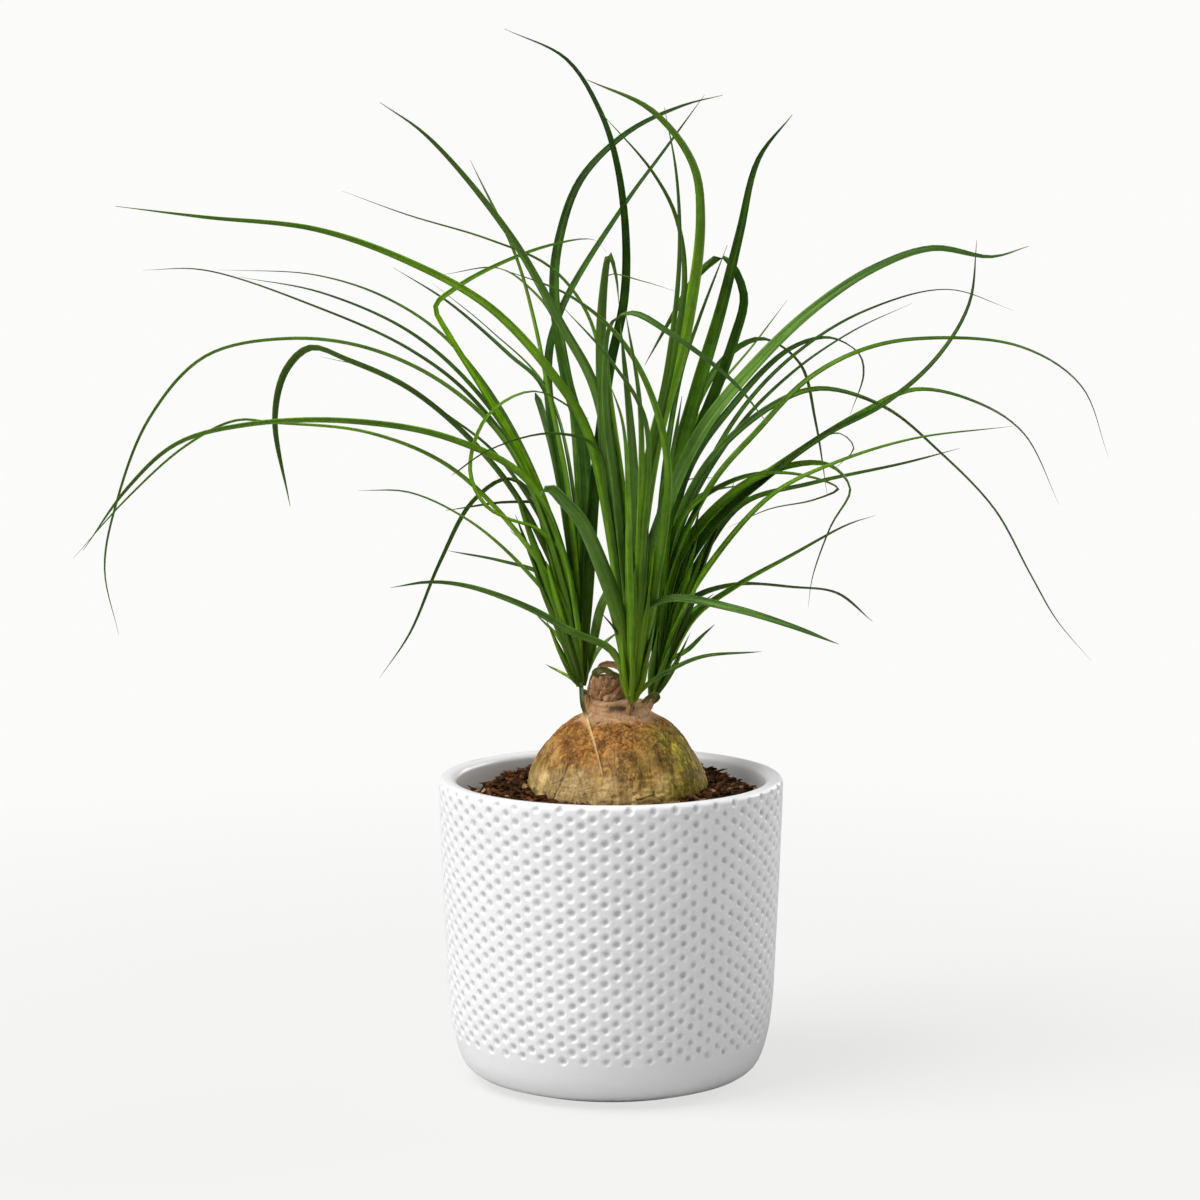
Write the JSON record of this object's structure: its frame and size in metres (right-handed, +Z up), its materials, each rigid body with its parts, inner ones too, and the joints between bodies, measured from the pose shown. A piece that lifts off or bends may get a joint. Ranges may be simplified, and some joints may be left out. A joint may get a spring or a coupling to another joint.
{
  "type": "potted ponytail palm",
  "caption": "Ponytail palm with a swollen cork-barked base and long arching strap leaves, in a dimpled pale ceramic pot filled with bark potting mix.",
  "frame": {"origin": "centre of the pot's foot, on the surface that it stands on", "axes": "+Z up, +Y away from the viewer of the front view, +X to that viewer's right"},
  "size_m": [0.5252, 0.3306, 0.5229],
  "materials": {
    "ceramic": "satin glaze",
    "potting_mix": "loose dark bark chips",
    "bark": "cracked corky bark",
    "leaf": "satin green leaf",
    "straw": "dry straw"
  },
  "bodies": {
    "root": {"pot": "ceramic", "soil": "potting_mix", "caudex": "bark", "crown_left": "leaf", "crown_front": "leaf", "crown_right": "leaf", "withered_leaf": "straw"}
  },
  "joints": []
}
